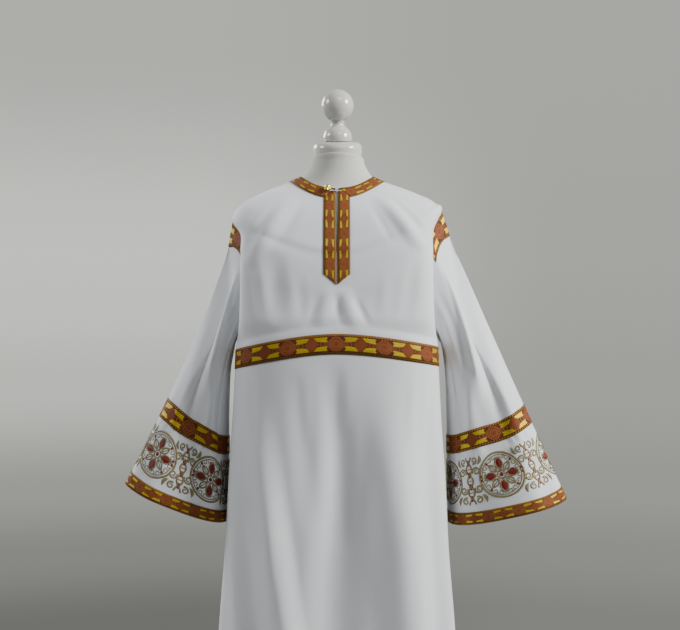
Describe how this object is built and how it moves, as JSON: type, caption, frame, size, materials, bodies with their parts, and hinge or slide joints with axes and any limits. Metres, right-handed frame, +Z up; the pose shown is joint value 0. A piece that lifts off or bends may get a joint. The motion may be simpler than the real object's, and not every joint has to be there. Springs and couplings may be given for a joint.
{
  "type": "sticharion on a limbless dress form with a round stand",
  "caption": "Long white deacon's vestment with wide sleeves and red-gold ribbon trim, hanging on a white limbless dress form with a pole and round base.",
  "frame": {"origin": "centre of the underside of the stand's round base, on the surface it stands on", "axes": "+Z up along the pole, the garment's front faces -Y, +X is the viewer's right as they face the front"},
  "size_m": [0.8672, 0.42, 1.654],
  "materials": {
    "white_cloth": "white polyester gabardine with a soft sheen",
    "cuff_cloth": "white gabardine with gold and deep red satin-stitch embroidery",
    "galloon": "woven copper-gold ribbon with bright metallic yarn and red details",
    "button_metal": "polished gold-coloured metal",
    "loop_cord": "thin white satin cord",
    "form_jersey": "white cotton jersey pulled over rigid foam",
    "gloss_white": "gloss white lacquer",
    "pole_white": "gloss white paint"
  },
  "bodies": {
    "root": {"front": "white_cloth", "back": "white_cloth", "sleeve_left": "white_cloth", "sleeve_right": "white_cloth", "cuff_left": "cuff_cloth", "cuff_right": "cuff_cloth", "collar_ribbon": "galloon", "placket_strip_left": "galloon", "placket_strip_right": "galloon", "chest_band": "galloon", "shoulder_ribbon_left": "galloon", "shoulder_ribbon_right": "galloon", "cuff_top_ribbon_left": "galloon", "cuff_top_ribbon_right": "galloon", "cuff_edge_ribbon_left": "galloon", "cuff_edge_ribbon_right": "galloon", "button": "button_metal", "button_loop": "loop_cord", "dress_form": "form_jersey", "neck_cap": "gloss_white", "finial": "gloss_white", "stand_base": "gloss_white", "stand_pole": "pole_white"}
  },
  "joints": []
}
